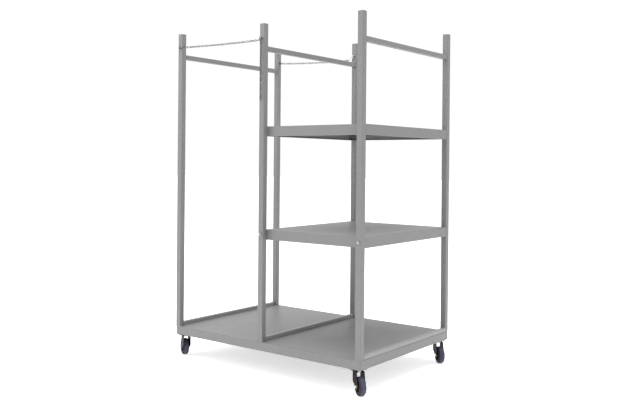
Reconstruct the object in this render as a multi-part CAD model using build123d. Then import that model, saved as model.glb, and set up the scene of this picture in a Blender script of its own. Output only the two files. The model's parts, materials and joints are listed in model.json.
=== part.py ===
from build123d import *
import os
from math import cos, pi, radians, sin

# Rolling rack for hanging clothes. A folded steel deck on four swivel casters carries six
# square posts in three frames. Two shelves fill the right bay. The left bay is open, and a
# chain crosses its front and its back. All sizes are in millimetres. The origin is on the
# floor, under the middle of the deck. +X is to the right, +Y to the back and +Z up.

# overall
WIDTH = 1219.0
DEPTH = 850.0
HEIGHT = 1766.0
CASTER_HEIGHT = 121.0

# deck
DECK_RIM = 44.0
DECK_SHEET = 2.0
DECK_CORNER_RADIUS = 9.0
DECK_EDGE_RADIUS = 3.0
CHANNEL_WIDTH = 80.0
CHANNEL_WALL = 3.0
RIB_WIDTH = 50.0
RIB_WALL = 2.0
RIB_OFFSETS = (-300.0, 0.0, 300.0)
FIT_GAP = 0.5
BEAM_END_INSET = 9.5

# frames
POST = 31.75
POST_WALL = 2.0
POST_RADIUS = 4.0
CAP_THICKNESS = 2.5
TOP_RAIL = 25.4
TOP_RAIL_RADIUS = 3.0
TOP_RAIL_DROP = 125.0
LOW_RAIL = 20.0
LOW_RAIL_RADIUS = 2.5
RAIL_WALL = 1.6

# shelves
SHELF_RIM = 50.0
SHELF_SHEET = 1.5
SHELF_LIP = 12.0
SHELF_INSET = 1.5
SHELF_CORNER_RADIUS = 3.0
SHELF_EDGE_RADIUS = 2.0
LOWER_SHELF_TOP = 727.0
UPPER_SHELF_TOP = 1249.0
SHELF_BOLT_DROP = 21.0
SHELF_BOLT_RADIUS = 4.0
BOLT_CLEARANCE = 0.25

# casters, each drawn round its own swivel axis with the floor at z = 0
CASTER_INSET_X = 38.0
CASTER_INSET_Y = 42.0
WHEEL_RADIUS = 44.5
TYRE_WIDTH = 32.0
TYRE_INNER_RADIUS = 33.0
TRAIL = 30.0
PLATE_X = 66.0
PLATE_Y = 76.0
PLATE_THICKNESS = 3.0
PLATE_HOLES_X = 44.0
PLATE_HOLES_Y = 50.0
PLATE_BOLT_RADIUS = 4.0
FORK_GAP = 35.0
FORK_SHEET = 2.5
FORK_END_RADIUS = 16.0
CROWN_BACK = -25.0
CROWN_FRONT = 29.0
CROWN_UNDERSIDE = 108.0
KINGPIN_RADIUS = 5.0
AXLE_RADIUS = 4.75
BUSH_RADIUS = 7.5
RUNNING_GAP = 0.05
BALL_RADIUS = 2.5
BALL_CIRCLE = 16.5
BALL_COUNT = 14
# direction that each wheel trails in, in degrees from +X
CASTERS = {
    "front_left": (-1, -1, 150.0),
    "front_right": (1, -1, -37.0),
    "back_left": (-1, 1, 142.0),
    "back_right": (1, 1, -43.0),
}

# chains and their fixings
CHAIN_DROP = 76.0
EYE_REACH = 6.5
EYE_RING_RADIUS = 4.5
EYE_WIRE = 1.4
EYE_SHANK_RADIUS = 2.5
HOOK_REACH = 13.0
HOOK_WIRE = 1.6
HOOK_BEND = 6.0
LINK_WIRE = 1.4
LINK_INNER_HALF = 7.35
LINK_HALF_WIDTH = 4.2
LINK_GAP = 0.15
FRONT_SAG = 4.0
FRONT_LINKS = 41
REAR_SAG = 6.0
REAR_LINKS = 38
TAIL_LINKS = 21
SNAP_LENGTH = 40.0
SNAP_HALF_WIDTH = 5.5
SNAP_WIRE = 1.7
SNAP_SLOPE = 50.0
GATE_WIRE = 1.3
GATE_PIN_RADIUS = 0.55

# worked out from the sizes above
DECK_TOP = CASTER_HEIGHT + DECK_RIM
DECK_UNDERSIDE = DECK_TOP - DECK_SHEET
HALF_W = WIDTH / 2
HALF_D = DEPTH / 2
POST_X = {"left": -HALF_W + POST / 2, "middle": 0.0, "right": HALF_W - POST / 2}
POST_Y = {"front": -HALF_D + POST / 2, "back": HALF_D - POST / 2}
RAIL_LENGTH = DEPTH - 2 * POST
CHAIN_Z = HEIGHT - CHAIN_DROP
SHELF_BOLT_Z = LOWER_SHELF_TOP - SHELF_BOLT_DROP
PLATE_UNDERSIDE = CASTER_HEIGHT - PLATE_THICKNESS
LINK_HALF_LENGTH = LINK_INNER_HALF + LINK_WIRE
LINK_PITCH = 2 * LINK_INNER_HALF - 2 * LINK_GAP


def save(shapes, name):
    """Write one named piece, or a group of separate equal pieces, to its own file."""
    solids = []
    for shape in shapes if isinstance(shapes, list) else [shapes]:
        solids += shape.solids()
    body = solids[0] if len(solids) == 1 else Compound(children=solids)
    body.label = name
    export_step(body, f"parts/{name}.step")


def box(low, high):
    """Box between two opposite corners."""
    size = [b - a for a, b in zip(low, high)]
    middle = [(a + b) / 2 for a, b in zip(low, high)]
    return Pos(*middle) * Box(*size)


def disc(radius, low_z, high_z, x=0.0, y=0.0):
    """Upright cylinder between two heights."""
    return Pos(x, y, (low_z + high_z) / 2) * Cylinder(radius, high_z - low_z)


def rod(radius, start, end):
    """Round bar between two points."""
    way = Vector(*end) - Vector(*start)
    plane = Plane(origin=Vector(*start), z_dir=way)
    return extrude(plane * Circle(radius), way.length)


def square_tube(size, wall, radius, length, start, direction):
    """Square tube with round corners, centred on its line, from start along direction."""
    plane = Plane(origin=start, z_dir=direction)
    ring = RectangleRounded(size, size, radius)
    ring -= RectangleRounded(size - 2 * wall, size - 2 * wall, max(radius - wall, 0.8))
    return extrude(plane * ring, length)


def hex_prism(flats, low, high):
    """Hexagonal bar between two points on its axis."""
    way = Vector(*high) - Vector(*low)
    plane = Plane(origin=Vector(*low), z_dir=way)
    return extrude(plane * RegularPolygon(flats / 2, 6, major_radius=False), way.length)


def pan(width, depth, height, sheet, corner_radius, edge_radius, lip):
    """Folded sheet pan, open below, with its top face at z = 0 and an inward lip."""
    block = extrude(RectangleRounded(width, depth, corner_radius), -height)
    block = fillet(block.faces().sort_by(Axis.Z)[-1].edges(), edge_radius)
    inner_radius = corner_radius - sheet
    inner = RectangleRounded(width - 2 * sheet, depth - 2 * sheet, inner_radius)
    if lip:
        block -= Pos(0, 0, -sheet) * extrude(inner, -(height - 2 * sheet))
        mouth = Rectangle(width - 2 * (sheet + lip), depth - 2 * (sheet + lip))
        block -= Pos(0, 0, -height + 2 * sheet) * extrude(mouth, -3 * sheet)
    else:
        block -= Pos(0, 0, -sheet) * extrude(inner, -height)
    return block


# ---------------------------------------------------------------- deck

def deck_tray():
    """Deck sheet with its edges folded down as the rim."""
    return Pos(0, 0, DECK_TOP) * pan(
        WIDTH, DEPTH, DECK_RIM, DECK_SHEET, DECK_CORNER_RADIUS, DECK_EDGE_RADIUS, 0
    )


def channel(width, wall, x, y_half):
    """U channel under the deck, its flanges welded to the underside of the sheet."""
    outer = box((x - width / 2, -y_half, CASTER_HEIGHT), (x + width / 2, y_half, DECK_UNDERSIDE))
    inner_half = width / 2 - wall
    return outer - box(
        (x - inner_half, -y_half - 1, CASTER_HEIGHT + wall),
        (x + inner_half, y_half + 1, DECK_UNDERSIDE + 1),
    )


def caster_axis(name):
    """Swivel axis of a caster, as x and y."""
    side, end, _ = CASTERS[name]
    return side * (HALF_W - CASTER_INSET_X), end * (HALF_D - CASTER_INSET_Y)


def plate_bolt_places(name):
    """The four bolt axes of one caster plate."""
    x, y = caster_axis(name)
    return [
        (x + i * PLATE_HOLES_X / 2, y + j * PLATE_HOLES_Y / 2) for i in (-1, 1) for j in (-1, 1)
    ]


def caster_channel(side):
    """Wide channel that the two caster plates of one side bolt to."""
    sign = -1 if side == "left" else 1
    centre = sign * (HALF_W - DECK_SHEET - FIT_GAP - CHANNEL_WIDTH / 2)
    body = channel(CHANNEL_WIDTH, CHANNEL_WALL, centre, HALF_D - BEAM_END_INSET)
    for name, (caster_side, _, _) in CASTERS.items():
        if caster_side != sign:
            continue
        for x, y in plate_bolt_places(name):
            body -= disc(PLATE_BOLT_RADIUS + BOLT_CLEARANCE, CASTER_HEIGHT - 1, DECK_TOP, x, y)
    return body


def deck_ribs():
    """Three narrower channels that stiffen the deck sheet."""
    y_half = HALF_D - BEAM_END_INSET
    return [channel(RIB_WIDTH, RIB_WALL, x, y_half) for x in RIB_OFFSETS]


# ---------------------------------------------------------------- frames

def post(column, row):
    """One post, with cross holes for its shelf bolt and its chain fixing."""
    x = POST_X[column]
    y = POST_Y[row]
    length = HEIGHT - CAP_THICKNESS - DECK_TOP
    body = square_tube(POST, POST_WALL, POST_RADIUS, length, (x, y, DECK_TOP), (0, 0, 1))
    if column != "left":
        hole = SHELF_BOLT_RADIUS + BOLT_CLEARANCE
        body -= rod(hole, (x, y - POST, SHELF_BOLT_Z), (x, y + POST, SHELF_BOLT_Z))
    hole = EYE_SHANK_RADIUS + BOLT_CLEARANCE
    if (column, row) in (("left", "front"), ("middle", "front"), ("middle", "back")):
        body -= rod(hole, (x, y - POST, CHAIN_Z), (x, y + POST, CHAIN_Z))
    if (column, row) == ("left", "back"):
        body -= rod(hole, (x - POST, y, CHAIN_Z), (x + POST, y, CHAIN_Z))
    return body


def post_caps():
    """Flat plates that close the tops of the posts."""
    outline = RectangleRounded(POST, POST, POST_RADIUS)
    caps = []
    for x in POST_X.values():
        for y in POST_Y.values():
            cap = Pos(x, y, HEIGHT - CAP_THICKNESS) * extrude(outline, CAP_THICKNESS)
            caps.append(chamfer(cap.faces().sort_by(Axis.Z)[-1].edges(), 0.8))
    return caps


def top_rail(column):
    """Hanging rail that joins the front and back posts of one frame."""
    start = (POST_X[column], -RAIL_LENGTH / 2, HEIGHT - TOP_RAIL_DROP)
    return square_tube(TOP_RAIL, RAIL_WALL, TOP_RAIL_RADIUS, RAIL_LENGTH, start, (0, 1, 0))


def low_rail(column):
    """Foot rail that lies on the deck between the posts of one frame."""
    outward = {"left": -1, "middle": 0, "right": 1}[column]
    x = POST_X[column] + outward * (POST - LOW_RAIL) / 2
    start = (x, -RAIL_LENGTH / 2, DECK_TOP + LOW_RAIL / 2)
    return square_tube(LOW_RAIL, RAIL_WALL, LOW_RAIL_RADIUS, RAIL_LENGTH, start, (0, 1, 0))


# ---------------------------------------------------------------- shelves

def shelf(top, bolted):
    """Shelf pan that fits between the front and back posts of the right bay."""
    low_x = -POST / 2 + SHELF_INSET
    high_x = HALF_W - SHELF_INSET
    body = Pos((low_x + high_x) / 2, 0, top) * pan(
        high_x - low_x,
        RAIL_LENGTH,
        SHELF_RIM,
        SHELF_SHEET,
        SHELF_CORNER_RADIUS,
        SHELF_EDGE_RADIUS,
        SHELF_LIP,
    )
    if bolted:
        for column in ("middle", "right"):
            x = POST_X[column]
            hole = SHELF_BOLT_RADIUS + BOLT_CLEARANCE
            body -= rod(hole, (x, -DEPTH, SHELF_BOLT_Z), (x, DEPTH, SHELF_BOLT_Z))
    return body


def shelf_bolt_places():
    """Each shelf bolt's x, and the way that its head faces."""
    return [(POST_X[c], sign) for c in ("middle", "right") for sign in (-1, 1)]


def shelf_bolts():
    """Hexagon bolts that hold the lower shelf to its four posts."""
    bolts = []
    for x, sign in shelf_bolt_places():
        face = sign * HALF_D
        tip = sign * (HALF_D - POST - SHELF_SHEET - 10)
        shank = rod(SHELF_BOLT_RADIUS, (x, face, SHELF_BOLT_Z), (x, tip, SHELF_BOLT_Z))
        washer = rod(8.5, (x, face, SHELF_BOLT_Z), (x, face + sign * 1.5, SHELF_BOLT_Z))
        low = (x, face + sign * 1.5, SHELF_BOLT_Z)
        high = (x, face + sign * 6.8, SHELF_BOLT_Z)
        bolts.append(shank + washer + hex_prism(13.0, low, high))
    return bolts


def shelf_nuts():
    """Nuts on the shelf bolts, inside the shelf's rim."""
    nuts = []
    for x, sign in shelf_bolt_places():
        face = sign * (HALF_D - POST - SHELF_SHEET)
        low = (x, face, SHELF_BOLT_Z)
        high = (x, face - sign * 6.5, SHELF_BOLT_Z)
        bore = rod(SHELF_BOLT_RADIUS + RUNNING_GAP, low, high)
        nuts.append(hex_prism(13.0, low, high) - bore)
    return nuts


# ---------------------------------------------------------------- casters

def on_swivel(shape, name):
    """Move a piece from a caster's own frame to its place, turned the way it trails."""
    x, y = caster_axis(name)
    return Pos(x, y, 0) * Rot(0, 0, CASTERS[name][2]) * shape


def caster_plate(name):
    """Top plate with four holes and the pressed cup of the swivel bearing."""
    x, y = caster_axis(name)
    flat = extrude(RectangleRounded(PLATE_X, PLATE_Y, 8.0), PLATE_THICKNESS)
    body = Pos(0, 0, PLATE_UNDERSIDE) * flat
    ball_top = CROWN_UNDERSIDE + FORK_SHEET + 1.5 + 2 * BALL_RADIUS
    cup = disc(24.5, CROWN_UNDERSIDE + FORK_SHEET + 1.0, PLATE_UNDERSIDE)
    cup -= disc(22.2, 0, ball_top + 0.3)
    body += cup
    body -= disc(KINGPIN_RADIUS + RUNNING_GAP, 0, CASTER_HEIGHT + 1)
    body = Pos(x, y, 0) * body
    for bolt_x, bolt_y in plate_bolt_places(name):
        body -= disc(PLATE_BOLT_RADIUS + BOLT_CLEARANCE, 0, CASTER_HEIGHT + 1, bolt_x, bolt_y)
    return body


def caster_kingpins():
    """Rivets that hold each fork to its plate."""
    pin = disc(KINGPIN_RADIUS, CROWN_UNDERSIDE - 3.3, CASTER_HEIGHT - 0.2)
    pin += disc(9.0, CROWN_UNDERSIDE - 3.3, CROWN_UNDERSIDE - 0.3)
    return [Pos(*caster_axis(name), 0) * pin for name in CASTERS]


def caster_balls(name):
    """Ring of bearing balls between the plate's cup and the fork's crown."""
    height = CROWN_UNDERSIDE + FORK_SHEET + 1.5 + BALL_RADIUS
    balls = []
    for i in range(BALL_COUNT):
        angle = 2 * pi * i / BALL_COUNT
        place = Pos(BALL_CIRCLE * cos(angle), BALL_CIRCLE * sin(angle), height)
        balls.append(on_swivel(place * Sphere(BALL_RADIUS), name))
    return balls


def fork_leg(side):
    """One leg of the fork: a flat plate that narrows from the crown to the axle."""
    top = CROWN_UNDERSIDE + FORK_SHEET
    rounds = [
        Pos(TRAIL, WHEEL_RADIUS) * Circle(FORK_END_RADIUS),
        Pos(CROWN_BACK + 8.0, 64.0) * Circle(8.0),
        Pos(CROWN_BACK + 3.0, top - 3.0) * Circle(3.0),
        Pos(CROWN_FRONT - 3.0, top - 3.0) * Circle(3.0),
    ]
    outline = make_hull([round_end.edge() for round_end in rounds])
    inner = side * FORK_GAP / 2
    leg = extrude(Plane.XZ * outline, -side * FORK_SHEET)
    return Pos(0, inner, 0) * leg


def caster_fork(name):
    """Pressed fork: crown with a raised bearing seat, two legs and the axle holes."""
    top = CROWN_UNDERSIDE + FORK_SHEET
    half = FORK_GAP / 2 + FORK_SHEET
    body = box((CROWN_BACK, -half, CROWN_UNDERSIDE), (CROWN_FRONT, half, top))
    body += fork_leg(-1) + fork_leg(1)
    body += disc(21.5, top, top + 1.5)
    body -= disc(KINGPIN_RADIUS + RUNNING_GAP, 0, CASTER_HEIGHT)
    hole = AXLE_RADIUS + RUNNING_GAP
    body -= rod(hole, (TRAIL, -half - 1, WHEEL_RADIUS), (TRAIL, half + 1, WHEEL_RADIUS))
    return on_swivel(body, name)


def caster_axle(name):
    """Axle bolt and its nut, clamped on the fork's legs."""
    half = FORK_GAP / 2 + FORK_SHEET
    z = WHEEL_RADIUS
    bolt = rod(AXLE_RADIUS, (TRAIL, -half, z), (TRAIL, half + 9.0, z))
    bolt += hex_prism(14.0, (TRAIL, -half - 5.5, z), (TRAIL, -half, z))
    nut = hex_prism(14.0, (TRAIL, half, z), (TRAIL, half + 7.0, z))
    nut -= rod(AXLE_RADIUS + RUNNING_GAP, (TRAIL, half - 1, z), (TRAIL, half + 10, z))
    return [on_swivel(bolt, name), on_swivel(nut, name)]


def caster_bush(name):
    """Steel sleeve round the axle that the wheel turns on."""
    half = FORK_GAP / 2
    z = WHEEL_RADIUS
    sleeve = rod(BUSH_RADIUS, (TRAIL, -half, z), (TRAIL, half, z))
    sleeve -= rod(AXLE_RADIUS + RUNNING_GAP, (TRAIL, -half - 1, z), (TRAIL, half + 1, z))
    return on_swivel(sleeve, name)


def caster_hub(name):
    """Moulded wheel centre: boss, web with five round pockets, and rim."""
    place = Pos(TRAIL, 0, WHEEL_RADIUS) * Rot(90, 0, 0)
    rim = Cylinder(TYRE_INNER_RADIUS - RUNNING_GAP, TYRE_WIDTH - 3) - Cylinder(28.5, TYRE_WIDTH)
    web = Cylinder(29.0, 9.0)
    boss = Cylinder(13.0, FORK_GAP - 1.5)
    body = rim + web + boss
    for i in range(5):
        angle = 2 * pi * i / 5
        body -= Pos(20.7 * cos(angle), 20.7 * sin(angle), 0) * Cylinder(5.2, 40)
    body -= Cylinder(BUSH_RADIUS + RUNNING_GAP, 60)
    return on_swivel(place * body, name)


def caster_tyre(name):
    """Rubber tyre with a slightly crowned tread and round shoulders."""
    half = TYRE_WIDTH / 2
    shoulder = WHEEL_RADIUS - 8.0
    tread = WHEEL_RADIUS - 1.0
    bend = WHEEL_RADIUS - 3.6
    step = TYRE_INNER_RADIUS + 2
    outline = [
        Line((TYRE_INNER_RADIUS, -half + 1), (TYRE_INNER_RADIUS, half - 1)),
        Line((TYRE_INNER_RADIUS, half - 1), (step, half)),
        Line((step, half), (shoulder, half)),
        ThreePointArc((shoulder, half), (bend, half - 2.4), (tread, half - 7)),
        ThreePointArc((tread, half - 7), (WHEEL_RADIUS, 0), (tread, -half + 7)),
        ThreePointArc((tread, -half + 7), (bend, -half + 2.4), (shoulder, -half)),
        Line((shoulder, -half), (step, -half)),
        Line((step, -half), (TYRE_INNER_RADIUS, -half + 1)),
    ]
    profile = Plane.XZ * make_face(Curve(outline).edges())
    tyre = revolve(profile, Axis.Z)
    place = Pos(TRAIL, 0, WHEEL_RADIUS) * Rot(90, 0, 0)
    return on_swivel(place * tyre, name)


def caster_bolts():
    """Hexagon bolts, heads down, that hold the caster plates to the channels."""
    bolts = []
    for name in CASTERS:
        for x, y in plate_bolt_places(name):
            shank = disc(PLATE_BOLT_RADIUS, PLATE_UNDERSIDE, CASTER_HEIGHT + 13.0, x, y)
            shank += disc(7.9, PLATE_UNDERSIDE - 1.5, PLATE_UNDERSIDE, x, y)
            low = (x, y, PLATE_UNDERSIDE - 6.8)
            bolts.append(shank + hex_prism(13.0, low, (x, y, PLATE_UNDERSIDE)))
    return bolts


def caster_nuts():
    """Nuts on the caster bolts, inside the channels."""
    nuts = []
    base = CASTER_HEIGHT + CHANNEL_WALL
    for name in CASTERS:
        for x, y in plate_bolt_places(name):
            bore = disc(PLATE_BOLT_RADIUS + RUNNING_GAP, base - 1, base + 10, x, y)
            nuts.append(hex_prism(13.0, (x, y, base), (x, y, base + 6.5)) - bore)
    return nuts


# ---------------------------------------------------------------- chains

def facing(origin, outward):
    """Frame at a post's face: local -Y points straight out of it and local Z is up."""
    return Pos(*origin) * Rot(0, 0, outward)


def fixing_shank(face_place):
    """Threaded shank of an eye or hook, through the post, with its collar."""
    shank = rod(EYE_SHANK_RADIUS, (0, -2.0, 0), (0, POST + 8.0, 0))
    collar = rod(5.0, (0, -2.0, 0), (0, 0, 0))
    return face_place * (shank + collar)


# each fixing's post face, and the turn that points local -Y out of that face
FIXING_FACES = {
    "front_left": ((POST_X["left"], -HALF_D, CHAIN_Z), 0.0),
    "front_middle": ((POST_X["middle"], -HALF_D, CHAIN_Z), 0.0),
    "back_left": ((-HALF_W + POST, POST_Y["back"], CHAIN_Z), 90.0),
    "back_middle": ((POST_X["middle"], HALF_D - POST, CHAIN_Z), 0.0),
}


def eye_bolts():
    """The three eye bolts that the chains and the snap hook hang on."""
    eyes = []
    for name in ("front_left", "back_left", "back_middle"):
        place = facing(*FIXING_FACES[name])
        ring = place * Pos(0, -EYE_REACH, 0) * Torus(EYE_RING_RADIUS, EYE_WIRE)
        eyes.append(ring + fixing_shank(place))
    return eyes


def chain_hook():
    """Open hook on the front middle post, with its point up."""
    place = facing(*FIXING_FACES["front_middle"])
    bend = HOOK_BEND
    reach = HOOK_REACH
    start = (bend - reach, -bend / 2)
    path = [
        Line((0, 0), (start[0] + bend / 2, 0)),
        TangentArc((start[0] + bend / 2, 0), start, tangent=(-1, 0)),
        ThreePointArc(start, (-reach, start[1] - bend), (-reach - bend, start[1])),
        Line((-reach - bend, start[1]), (-reach - bend, 6.0)),
    ]
    wire = Plane.YZ * Wire(Curve(path).edges())
    section = Plane(origin=wire @ 0, z_dir=wire % 0) * Circle(HOOK_WIRE)
    hook = sweep(section, path=wire)
    hook += Pos(0, -reach - bend, 6.0) * Sphere(HOOK_WIRE)
    return place * hook + fixing_shank(place)


def fixing_nuts():
    """Nuts on the shanks of the eye bolts and the hook."""
    nuts = []
    for origin, turn in FIXING_FACES.values():
        low = (0, POST, 0)
        high = (0, POST + 4.7, 0)
        bore = rod(EYE_SHANK_RADIUS + RUNNING_GAP, low, high)
        nuts.append(facing(origin, turn) * (hex_prism(8.0, low, high) - bore))
    return nuts


def chain_link():
    """One link, its length along X and its plane XZ, centred on the origin."""
    straight = LINK_HALF_LENGTH - LINK_HALF_WIDTH
    bar = rod(LINK_WIRE, (-straight, 0, LINK_HALF_WIDTH), (straight, 0, LINK_HALF_WIDTH))
    half_ring = Rot(90, 0, 0) * Torus(LINK_HALF_WIDTH, LINK_WIRE)
    half_ring &= box((0, -9, -9), (9, 9, 9))
    link = bar + mirror(bar, Plane.XY) + Pos(straight, 0, 0) * half_ring
    return link + mirror(Pos(straight, 0, 0) * half_ring, Plane.YZ)


LINK = chain_link()


def link_at(centre, way, roll):
    """A link with its length along way, rolled about its own length."""
    x_axis = Vector(*way).normalized()
    level = Vector(-x_axis.Y, x_axis.X, 0)
    y_axis = level.normalized() if level.length > 1e-6 else Vector(0, 1, 0)
    plane = Plane(origin=Vector(*centre), x_dir=x_axis, z_dir=x_axis.cross(y_axis))
    return plane.location * Rot(roll, 0, 0) * LINK


def hung_chain(start, end, sag, count):
    """Links along a shallow sag between the middles of the first and the last link."""
    start = Vector(*start)
    span = Vector(*end) - start
    links = []
    for i in range(count):
        t = i / (count - 1)
        drop = 4 * sag * t * (1 - t)
        slope = 4 * sag * (1 - 2 * t)
        centre = start + span * t - Vector(0, 0, drop)
        way = span - Vector(0, 0, slope)
        links.append(link_at(tuple(centre), tuple(way), 90 * (i % 2)))
    return links


def front_chain():
    """Chain across the front of the hanging bay, and the spare end that hangs down."""
    y = -HALF_D - HOOK_REACH
    link_z = CHAIN_Z - 1.5 * HOOK_BEND - 0.5
    tail_x = POST_X["middle"] + HOOK_WIRE + LINK_GAP + LINK_WIRE
    start_x = POST_X["left"] + EYE_RING_RADIUS - EYE_WIRE - LINK_GAP + LINK_INNER_HALF
    end_x = tail_x + LINK_WIRE + LINK_GAP - LINK_INNER_HALF
    links = hung_chain(
        (start_x, -HALF_D - EYE_REACH, CHAIN_Z), (end_x, y, link_z), FRONT_SAG, FRONT_LINKS
    )
    first_z = link_z - 2 * LINK_GAP - LINK_HALF_LENGTH
    for i in range(TAIL_LINKS):
        centre = (tail_x, y, first_z - i * LINK_PITCH)
        links.append(link_at(centre, (0, 0, -1), 90 * ((i + 1) % 2)))
    return links


def snap_frame():
    """Frame of the snap hook: local X runs up its length, local Z across its width."""
    x, y, z = FIXING_FACES["back_middle"][0]
    ring_wire = Pos(x - EYE_RING_RADIUS, y - EYE_REACH, z)
    below = SNAP_LENGTH - 3 * SNAP_WIRE - LINK_GAP - EYE_WIRE
    return ring_wire * Rot(0, -SNAP_SLOPE, 0) * Pos(-below, 0, 0)


def gate_pivot():
    """Pivot of the gate in the snap hook's frame, as x and z."""
    return SNAP_HALF_WIDTH + 1.4, -SNAP_HALF_WIDTH


def snap_hook():
    """Bent wire snap hook, open on one side where its gate closes it."""
    r = SNAP_HALF_WIDTH
    top = SNAP_LENGTH - 2 * SNAP_WIRE - r
    pivot_x, pivot_z = gate_pivot()
    path = [
        Line((top - 4.0, -r), (top, -r)),
        ThreePointArc((top, -r), (top + r, 0), (top, r)),
        Line((top, r), (r, r)),
        ThreePointArc((r, r), (0, 0), (r, -r)),
        Line((r, -r), (pivot_x, pivot_z)),
    ]
    wire = Plane.XZ * Wire(Curve(path).edges())
    section = Plane(origin=wire @ 0, z_dir=wire % 0) * Circle(SNAP_WIRE)
    hook = sweep(section, path=wire) + Pos(pivot_x, 0, pivot_z) * Sphere(SNAP_WIRE)
    hole = GATE_PIN_RADIUS + RUNNING_GAP
    hook -= rod(hole, (pivot_x, -SNAP_WIRE, pivot_z), (pivot_x, SNAP_WIRE, pivot_z))
    return snap_frame() * hook


def snap_gate():
    """Sprung gate of the snap hook, with two cheeks on a pin through the hook's end."""
    r = SNAP_HALF_WIDTH
    pivot_x, pivot_z = gate_pivot()
    start = pivot_x + 2.1
    tip = SNAP_LENGTH - 2 * SNAP_WIRE - r - 4.0 - GATE_WIRE - 0.4
    gate = rod(GATE_WIRE, (start, 0, pivot_z), (tip, 0, pivot_z))
    gate += Pos(tip, 0, pivot_z) * Sphere(GATE_WIRE)
    gate += box((start, -2.6, pivot_z - 1.2), (start + 1.6, 2.6, pivot_z + 1.2))
    for side in (-1, 1):
        low_y, high_y = sorted((side * 2.0, side * 2.6))
        gate += box((pivot_x - 1.3, low_y, pivot_z - 1.2), (start, high_y, pivot_z + 1.2))
    gate += rod(GATE_PIN_RADIUS, (pivot_x, -2.6, pivot_z), (pivot_x, 2.6, pivot_z))
    return snap_frame() * gate


def rear_chain():
    """Chain across the back of the hanging bay, from its eye bolt to the snap hook."""
    r = SNAP_HALF_WIDTH
    slope = radians(SNAP_SLOPE)
    seat = Pos(r - r * cos(slope), 0, r * sin(slope))
    hook_end = (snap_frame() * seat).position
    eye = Vector(*FIXING_FACES["back_left"][0]) + Vector(EYE_REACH, 0, 0)
    way = (hook_end - eye).normalized()
    start = eye + way * (EYE_RING_RADIUS - EYE_WIRE - LINK_GAP + LINK_INNER_HALF)
    end = hook_end + way * (SNAP_WIRE + LINK_GAP - LINK_INNER_HALF)
    return hung_chain(tuple(start), tuple(end), REAR_SAG, REAR_LINKS)


def main():
    os.makedirs("parts", exist_ok=True)
    save(deck_tray(), "deck_tray")
    for side in ("left", "right"):
        save(caster_channel(side), f"caster_channel_{side}")
    save(deck_ribs(), "deck_ribs")
    for column in POST_X:
        for row in POST_Y:
            save(post(column, row), f"post_{row}_{column}")
        save(top_rail(column), f"top_rail_{column}")
        save(low_rail(column), f"low_rail_{column}")
    save(post_caps(), "post_caps")
    save(shelf(LOWER_SHELF_TOP, True), "shelf_lower")
    save(shelf(UPPER_SHELF_TOP, False), "shelf_upper")
    save(shelf_bolts(), "shelf_bolts")
    save(shelf_nuts(), "shelf_nuts")
    for name in CASTERS:
        save(caster_plate(name), f"caster_{name}_plate")
        save(caster_balls(name), f"caster_{name}_balls")
        save(caster_fork(name), f"caster_{name}_fork")
        save(caster_axle(name), f"caster_{name}_axle")
        save(caster_bush(name), f"caster_{name}_bush")
        save(caster_hub(name), f"caster_{name}_hub")
        save(caster_tyre(name), f"caster_{name}_tyre")
    save(caster_kingpins(), "caster_kingpins")
    save(caster_bolts(), "caster_bolts")
    save(caster_nuts(), "caster_nuts")
    save(eye_bolts(), "eye_bolts")
    save(chain_hook(), "chain_hook")
    save(fixing_nuts(), "fixing_nuts")
    save(front_chain(), "front_chain")
    save(rear_chain(), "rear_chain")
    save(snap_hook(), "snap_hook")
    save(snap_gate(), "snap_gate")


main()
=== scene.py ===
import json
import math

import bpy
from mathutils import Matrix, Vector


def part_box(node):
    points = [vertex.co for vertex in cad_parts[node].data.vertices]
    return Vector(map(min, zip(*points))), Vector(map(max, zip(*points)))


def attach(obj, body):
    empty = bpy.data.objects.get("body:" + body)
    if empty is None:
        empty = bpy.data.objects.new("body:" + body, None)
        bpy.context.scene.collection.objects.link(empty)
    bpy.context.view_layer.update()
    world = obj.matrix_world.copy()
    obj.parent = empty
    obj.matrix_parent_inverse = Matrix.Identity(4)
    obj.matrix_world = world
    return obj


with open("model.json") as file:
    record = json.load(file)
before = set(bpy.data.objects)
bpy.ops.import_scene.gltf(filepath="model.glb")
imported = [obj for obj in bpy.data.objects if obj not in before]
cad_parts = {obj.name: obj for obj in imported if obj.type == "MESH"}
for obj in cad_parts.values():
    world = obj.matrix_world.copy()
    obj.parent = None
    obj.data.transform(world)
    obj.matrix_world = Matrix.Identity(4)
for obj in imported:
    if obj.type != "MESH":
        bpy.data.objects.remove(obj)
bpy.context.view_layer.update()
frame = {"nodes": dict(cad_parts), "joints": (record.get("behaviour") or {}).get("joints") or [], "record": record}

scene = bpy.context.scene
NODES = frame["nodes"]
X_AXIS = Vector((1, 0, 0))
Y_AXIS = Vector((0, 1, 0))
Z_AXIS = Vector((0, 0, 1))

# ---------------------------------------------------------------- camera
# Level camera at the front right, with a small roll and the picture shifted down.

CAMERA_PLACE = (2.5915, -3.395, 1.072)
YAW = -0.6568
ROLL = 0.0088
LENS = 45.69
SHIFT_Y = -0.0652


def add_camera():
    forward = Vector((math.sin(YAW), math.cos(YAW), 0))
    level_right = Vector((math.cos(YAW), -math.sin(YAW), 0))
    right = level_right * math.cos(ROLL) + Z_AXIS * math.sin(ROLL)
    up = Z_AXIS * math.cos(ROLL) - level_right * math.sin(ROLL)
    data = bpy.data.cameras.new("camera")
    data.sensor_width = 36
    data.lens = LENS
    data.shift_y = SHIFT_Y
    data.clip_end = 60
    camera = bpy.data.objects.new("camera", data)
    scene.collection.objects.link(camera)
    turn = Matrix((right, up, -forward)).transposed().to_4x4()
    camera.matrix_world = Matrix.Translation(CAMERA_PLACE) @ turn
    scene.camera = camera


add_camera()


# ---------------------------------------------------------------- materials

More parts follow.
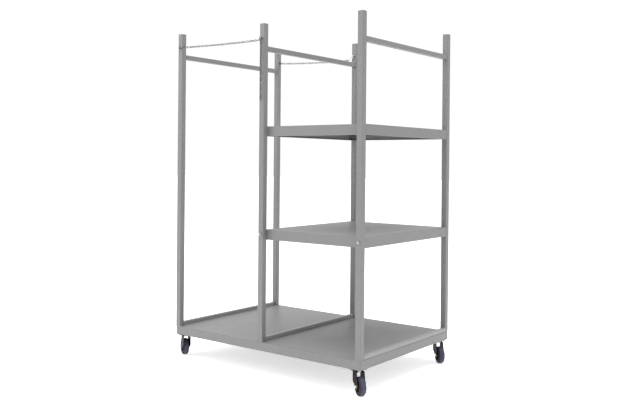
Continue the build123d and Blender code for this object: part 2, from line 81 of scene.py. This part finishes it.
class Paint:
    """A node material with short ways to add textures."""

    def __init__(self, name):
        self.material = bpy.data.materials.new(name)
        self.material.use_nodes = True
        self.tree = self.material.node_tree
        self.tree.nodes.clear()
        self.out = self.node("ShaderNodeOutputMaterial")
        self.shader = self.node("ShaderNodeBsdfPrincipled")
        self.link(self.shader, "BSDF", self.out, "Surface")
        self.coords = self.node("ShaderNodeTexCoord")

    def node(self, kind):
        return self.tree.nodes.new(kind)

    def link(self, a, out_name, b, in_name):
        self.tree.links.new(a.outputs[out_name], b.inputs[in_name])

    def set(self, **values):
        for key, value in values.items():
            self.shader.inputs[key.replace("_", " ")].default_value = value

    def noise(self, scale, detail=3.0, rough=0.55):
        made = self.node("ShaderNodeTexNoise")
        made.inputs["Scale"].default_value = scale
        made.inputs["Detail"].default_value = detail
        made.inputs["Roughness"].default_value = rough
        self.link(self.coords, "Object", made, "Vector")
        return made

    def ramp(self, source, stops):
        made = self.node("ShaderNodeValToRGB")
        ramp = made.color_ramp
        ramp.elements[0].position, ramp.elements[0].color = stops[0]
        ramp.elements[1].position, ramp.elements[1].color = stops[-1]
        for place, colour in stops[1:-1]:
            ramp.elements.new(place).color = colour
        self.link(source, "Fac", made, "Fac")
        return made

    def bump(self, source, strength, distance, after=None):
        made = self.node("ShaderNodeBump")
        made.inputs["Strength"].default_value = strength
        made.inputs["Distance"].default_value = distance
        self.link(source, "Fac", made, "Height")
        if after:
            self.link(after, "Normal", made, "Normal")
        return made

    def finish(self, colour=None, roughness=None, normal=None):
        if colour:
            self.link(colour, "Color", self.shader, "Base Color")
        if roughness:
            self.link(roughness, "Color", self.shader, "Roughness")
        if normal:
            self.link(normal, "Normal", self.shader, "Normal")
        return self.material


def rgb(red, green, blue):
    return (red, green, blue, 1.0)


def grey(value):
    return rgb(value, value, value)


def powder_coat(name, base):
    """Satin powder coat: fine orange peel, slow sags, and faint cloudiness."""
    paint = Paint(name)
    paint.set(Specular_IOR_Level=0.45, Coat_Weight=0.12, Coat_Roughness=0.35)

    def coat(value):
        return rgb(value, value * 1.005, value * 0.998)

    stops = [(0.25, coat(base * 0.988)), (0.5, coat(base)), (0.75, coat(base * 1.012))]
    colour = paint.ramp(paint.noise(5.0, 4.0), stops)
    rough = paint.ramp(paint.noise(14.0, 6.0, 0.65), [(0.3, grey(0.44)), (0.7, grey(0.49))])
    peel = paint.bump(paint.noise(420.0, 2.0), 0.10, 0.0006)
    sag = paint.bump(paint.noise(60.0, 2.0), 0.05, 0.0012, peel)
    return paint.finish(colour, rough, sag)


def black_enamel():
    """Dark enamel of the caster forks, a little warm, with specks of road dust."""
    paint = Paint("black_enamel")
    paint.set(Specular_IOR_Level=0.05)
    dust = paint.noise(90.0, 6.0, 0.7)
    clean, worn, dusty = rgb(0.006, 0.001, 0.005), rgb(0.010, 0.003, 0.008), rgb(0.032, 0.020, 0.028)
    colour = paint.ramp(dust, [(0.35, clean), (0.65, worn), (0.9, dusty)])
    rough = paint.ramp(dust, [(0.3, grey(0.34)), (0.8, grey(0.6))])
    bump = paint.bump(paint.noise(500.0, 2.0), 0.12, 0.0004)
    return paint.finish(colour, rough, bump)


def zinc(name, spots, colours, roughness):
    """Zinc plate with cloudy spangle; on the chain its light spots are painted highlights. Colours run from dark
    to light, roughness from low to high.
    """
    paint = Paint(name)
    paint.set(Metallic=1.0)
    dark, middle, light = colours
    low, high = roughness
    colour = paint.ramp(paint.noise(spots, 5.0, 0.6), [(0.36, dark), (0.5, middle), (0.64, light)])
    rough = paint.ramp(paint.noise(320.0, 4.0), [(0.3, grey(low)), (0.75, grey(high))])
    bump = paint.bump(paint.noise(900.0, 3.0), 0.15, 0.0003)
    return paint.finish(colour, rough, bump)


def rubber(name, dark, middle, dusty):
    """Rubber, matt, with scuffs and pale dust from the floor."""
    paint = Paint(name)
    paint.set(Specular_IOR_Level=0.18)
    scuff = paint.noise(70.0, 8.0, 0.72)
    colour = paint.ramp(scuff, [(0.3, dark), (0.55, middle), (0.8, dusty)])
    rough = paint.ramp(paint.noise(160.0, 5.0), [(0.3, grey(0.55)), (0.7, grey(0.82))])
    grain = paint.bump(paint.noise(700.0, 3.0), 0.25, 0.0005)
    wear = paint.bump(scuff, 0.18, 0.0008, grain)
    return paint.finish(colour, rough, wear)


def hub_plastic():
    """Dark moulded plastic of the wheel centre, with a fine moulded grain."""
    paint = Paint("hub_plastic")
    paint.set(Specular_IOR_Level=0.25)
    colour = paint.ramp(
        paint.noise(45.0, 5.0), [(0.3, rgb(0.018, 0.008, 0.014)), (0.75, rgb(0.038, 0.022, 0.032))]
    )
    rough = paint.ramp(paint.noise(220.0, 3.0), [(0.3, grey(0.38)), (0.7, grey(0.58))])
    bump = paint.bump(paint.noise(800.0, 2.0), 0.2, 0.0003)
    return paint.finish(colour, rough, bump)


COAT = powder_coat("grey_powder_coat", 0.142)
# The foot rails get a lighter copy of the grey coat: painted light, standing in for the light on their tops and
# sides.
FOOT_RAIL_COAT_PAINTED_LIGHT = powder_coat("grey_coat_painted_lighter_on_foot_rails", 0.20)
WELD_COAT = powder_coat("grey_coat_on_weld", 0.135)
ENAMEL = black_enamel()
BRIGHT_ZINC = zinc(
    "bright_zinc",
    spots=160.0,
    colours=(rgb(0.52, 0.52, 0.54), rgb(0.74, 0.75, 0.77), rgb(0.84, 0.84, 0.80)),
    roughness=(0.16, 0.36),
)
# Chain zinc: dark body with cream spots; the cream spots are painted highlights standing in for glints on the
# links.
CHAIN_ZINC_WITH_PAINTED_GLINTS = zinc(
    "dull_zinc_with_painted_glints",
    spots=90.0,
    colours=(rgb(0.012, 0.011, 0.010), rgb(0.06, 0.055, 0.045), rgb(0.42, 0.40, 0.34)),
    roughness=(0.25, 0.45),
)
BOLT_ZINC = zinc(
    "bolt_zinc",
    spots=160.0,
    colours=(rgb(0.20, 0.20, 0.205), rgb(0.34, 0.345, 0.35), rgb(0.5, 0.5, 0.48)),
    roughness=(0.3, 0.5),
)
TREAD = rubber(
    "tyre_tread",
    dark=rgb(0.030, 0.030, 0.048),
    middle=rgb(0.050, 0.051, 0.078),
    dusty=rgb(0.11, 0.112, 0.145),
)
SIDEWALL = rubber(
    "tyre_sidewall",
    dark=rgb(0.014, 0.008, 0.015),
    middle=rgb(0.024, 0.015, 0.026),
    dusty=rgb(0.07, 0.062, 0.078),
)
HUB = hub_plastic()

SLOT_FINISHES = {
    "grey_paint": COAT,
    "black_paint": ENAMEL,
    "zinc": BRIGHT_ZINC,
    "grey_plastic": HUB,
    "rubber": SIDEWALL,
}
NODE_FINISHES = {
    # The low rails take the lighter coat with painted light.
    "low_rail_left": FOOT_RAIL_COAT_PAINTED_LIGHT,
    "low_rail_middle": FOOT_RAIL_COAT_PAINTED_LIGHT,
    "low_rail_right": FOOT_RAIL_COAT_PAINTED_LIGHT,
    # The chain, hook, eye bolts and nuts take the zinc with painted highlight spots.
    "front_chain": CHAIN_ZINC_WITH_PAINTED_GLINTS,
    "rear_chain": CHAIN_ZINC_WITH_PAINTED_GLINTS,
    "chain_hook": CHAIN_ZINC_WITH_PAINTED_GLINTS,
    "eye_bolts": CHAIN_ZINC_WITH_PAINTED_GLINTS,
    "fixing_nuts": CHAIN_ZINC_WITH_PAINTED_GLINTS,
    "shelf_bolts": BOLT_ZINC,
    "shelf_nuts": BOLT_ZINC,
    "caster_bolts": BOLT_ZINC,
    "caster_nuts": BOLT_ZINC,
}
TREAD_DEPTH = 0.0019


def paint_tread(node):
    """Give the worn running face of a tyre its own paler rubber."""
    low, high = (Vector(corner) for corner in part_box(node))
    centre = (low + high) / 2
    radius = (high.z - low.z) / 2
    mesh = NODES[node].data
    mesh.materials.append(TREAD)
    joint_name = node.removeprefix("caster_").removesuffix("_tyre") + "_roll"
    axle = Vector(next(joint for joint in frame["joints"] if joint["name"] == joint_name)["axis"])
    for face in mesh.polygons:
        arm = face.center - centre
        arm -= axle * arm.dot(axle)
        if arm.length > radius - TREAD_DEPTH:
            face.material_index = 1


for part in frame["record"]["subparts"]:
    node = part["node"]
    materials = NODES[node].data.materials
    materials.clear()
    materials.append(NODE_FINISHES.get(node, SLOT_FINISHES[part["material_slot"]]))
    if node.endswith("_tyre"):
        paint_tread(node)


# ---------------------------------------------------------------- welds

class Beads:
    """Collects rippled weld beads and makes them one mesh."""

    SIDES = 8
    STEP = 0.0011
    RIPPLE = 0.0024
    FLATTEN = 0.92

    def __init__(self):
        self.points = []
        self.faces = []

    def add(self, start, end, inward, up, size):
        """Bead from start to end in a corner whose two faces point along inward and up."""
        start = Vector(start)
        way = Vector(end) - start
        inward = Vector(inward)
        up = Vector(up)
        rings = max(6, int(way.length / self.STEP))
        first = len(self.points)
        for i in range(rings + 1):
            t = i / rings
            ends = min(1.0, 5.0 * min(t, 1 - t) * way.length / 0.01 + 0.25)
            wave = 0.5 + 0.5 * abs(math.sin(math.pi * t * way.length / self.RIPPLE))
            swell = size * ends * (0.78 + 0.22 * wave) * (1 + 0.06 * math.sin(37.0 * t + 5 * start.x))
            for k in range(self.SIDES):
                a = 0.5 * math.pi * k / (self.SIDES - 1)
                bulge = 0.90 + 0.14 * math.sin(2 * a)
                place = start + way * t
                place += inward * swell * math.cos(a) * bulge * self.FLATTEN
                place += up * swell * math.sin(a) * bulge * self.FLATTEN
                self.points.append(place)
        for i in range(rings):
            for k in range(self.SIDES - 1):
                a = first + i * self.SIDES + k
                self.faces.append((a, a + 1, a + 1 + self.SIDES, a + self.SIDES))

    def ring(self, centre, normal, across, half, size):
        """Beads round the end of a square tube that meets a face at a right angle."""
        centre = Vector(centre)
        normal = Vector(normal)
        across = Vector(across)
        upward = normal.cross(across)
        reach = half * 0.86
        for side in (-1, 1):
            edge = centre + across * side * half
            self.add(edge - upward * reach, edge + upward * reach, across * side, normal, size)
            edge = centre + upward * side * half
            self.add(edge - across * reach, edge + across * reach, upward * side, normal, size)

    def build(self, name):
        mesh = bpy.data.meshes.new(name)
        mesh.from_pydata([tuple(p) for p in self.points], [], self.faces)
        mesh.polygons.foreach_set("use_smooth", [True] * len(mesh.polygons))
        mesh.materials.append(WELD_COAT)
        made = bpy.data.objects.new(name, mesh)
        scene.collection.objects.link(made)
        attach(made, "rack")
        return made


FOOT_BEAD = 0.0026
TOP_RAIL_BEAD = 0.0024
SHELF_BEAD = 0.0022
SHELF_BEAD_INSET_BELOW = 0.003
SHELF_BEAD_INSET_ABOVE = 0.004
SHELF_END_MARGIN = 0.002
FLAT_OF_POST = 0.84
DECK_FLAT_HALF = 0.6
STITCHES = 4
STITCH_HALF = 0.018
STITCH_END = 0.06
welds = Beads()


def weld_post_foot(low, high):
    """Beads along the inner face, and along each side face that stands on the flat of the deck."""
    middle = (low + high) / 2
    half = (high.x - low.x) / 2
    inward_y = -1 if middle.y > 0 else 1
    edge_y = middle.y + inward_y * half
    span = half * FLAT_OF_POST
    start = (middle.x - span, edge_y, low.z)
    end = (middle.x + span, edge_y, low.z)
    welds.add(start, end, Y_AXIS * inward_y, Z_AXIS, FOOT_BEAD)
    for side in (-1, 1):
        edge_x = middle.x + side * half
        if abs(edge_x) <= DECK_FLAT_HALF:
            start = (edge_x, middle.y - span, low.z)
            end = (edge_x, middle.y + span, low.z)
            welds.add(start, end, X_AXIS * side, Z_AXIS, FOOT_BEAD)


def weld_top_rail(low, high):
    """A ring of beads at each end of the rail, against its post."""
    middle = (low + high) / 2
    half = (high.x - low.x) / 2
    for end, normal in ((low.y, Y_AXIS), (high.y, -Y_AXIS)):
        welds.ring((middle.x, end, middle.z), normal, X_AXIS, half, TOP_RAIL_BEAD)


def weld_foot_rail(low, high):
    """Short stitches along each side of the rail that is on the flat of the deck."""
    middle = (low + high) / 2
    for side in (-1, 1):
        edge_x = middle.x + side * (high.x - low.x) / 2
        if abs(edge_x) > DECK_FLAT_HALF:
            continue
        for i in range(STITCHES):
            share = STITCH_END + (1 - 2 * STITCH_END) * i / (STITCHES - 1)
            y = low.y + (high.y - low.y) * share
            start = (edge_x, y - STITCH_HALF, low.z)
            end = (edge_x, y + STITCH_HALF, low.z)
            welds.add(start, end, X_AXIS * side, Z_AXIS, FOOT_BEAD)


def weld_shelf(low, high):
    """Upright beads in the corners between the post sides and the shelf's front and back rims."""
    for y, outward in ((low.y, -Y_AXIS), (high.y, Y_AXIS)):
        for post in ("middle", "right"):
            post_low, post_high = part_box(f"post_front_{post}")
            for x, side in ((post_low[0], -1), (post_high[0], 1)):
                if low.x + SHELF_END_MARGIN < x < high.x - SHELF_END_MARGIN:
                    start = (x, y, low.z + SHELF_BEAD_INSET_BELOW)
                    end = (x, y, high.z - SHELF_BEAD_INSET_ABOVE)
                    welds.add(start, end, X_AXIS * side, outward, SHELF_BEAD)


for node in NODES:
    corners = [Vector(corner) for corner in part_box(node)]
    if node.startswith("post_") and node != "post_caps":
        weld_post_foot(*corners)
    if node.startswith("top_rail"):
        weld_top_rail(*corners)
    if node.startswith("low_rail"):
        weld_foot_rail(*corners)
    if node == "shelf_upper":
        weld_shelf(*corners)
welds.build("weld_beads")


# ---------------------------------------------------------------- floor and light

FLOOR_HALF = 40.0


def add_floor():
    corners = [(x * FLOOR_HALF, y * FLOOR_HALF, 0) for x, y in ((-1, -1), (1, -1), (1, 1), (-1, 1))]
    mesh = bpy.data.meshes.new("floor")
    mesh.from_pydata(corners, [], [(0, 1, 2, 3)])
    floor = bpy.data.objects.new("floor", mesh)
    scene.collection.objects.link(floor)
    paint = Paint("pale_floor")
    paint.set(Base_Color=grey(0.86), Roughness=0.7, Specular_IOR_Level=0.2)
    paint.set(Emission_Color=grey(1.0), Emission_Strength=0.55)
    mesh.materials.append(paint.finish())


def area_light(name, place, target, width, height, power):
    data = bpy.data.lights.new(name, "AREA")
    data.shape = "RECTANGLE"
    data.size = width
    data.size_y = height
    data.energy = power
    made = bpy.data.objects.new(name, data)
    scene.collection.objects.link(made)
    way = Vector(target) - Vector(place)
    made.matrix_world = Matrix.Translation(place) @ way.to_track_quat("-Z", "Y").to_matrix().to_4x4()


def white_studio():
    world = bpy.data.worlds.new("studio")
    scene.world = world
    world.use_nodes = True
    backdrop = world.node_tree.nodes["Background"]
    backdrop.inputs["Color"].default_value = grey(1.0)
    backdrop.inputs["Strength"].default_value = 1.02
    scene.view_settings.view_transform = "Standard"


add_floor()
area_light("key", (-4.2, -4.4, 3.2), (0, 0, 0.9), 3.0, 3.0, 85)
area_light("overhead", (0.2, -0.4, 5.2), (0, 0, 0.6), 4.5, 4.5, 330)
area_light("right_fill", (5.5, -0.6, 2.6), (0, 0, 0.9), 3.0, 3.0, 8)
area_light("low_front", (1.3, -1.95, 0.1), (0.3, 0.2, 1.25), 1.6, 1.0, 4)
white_studio()
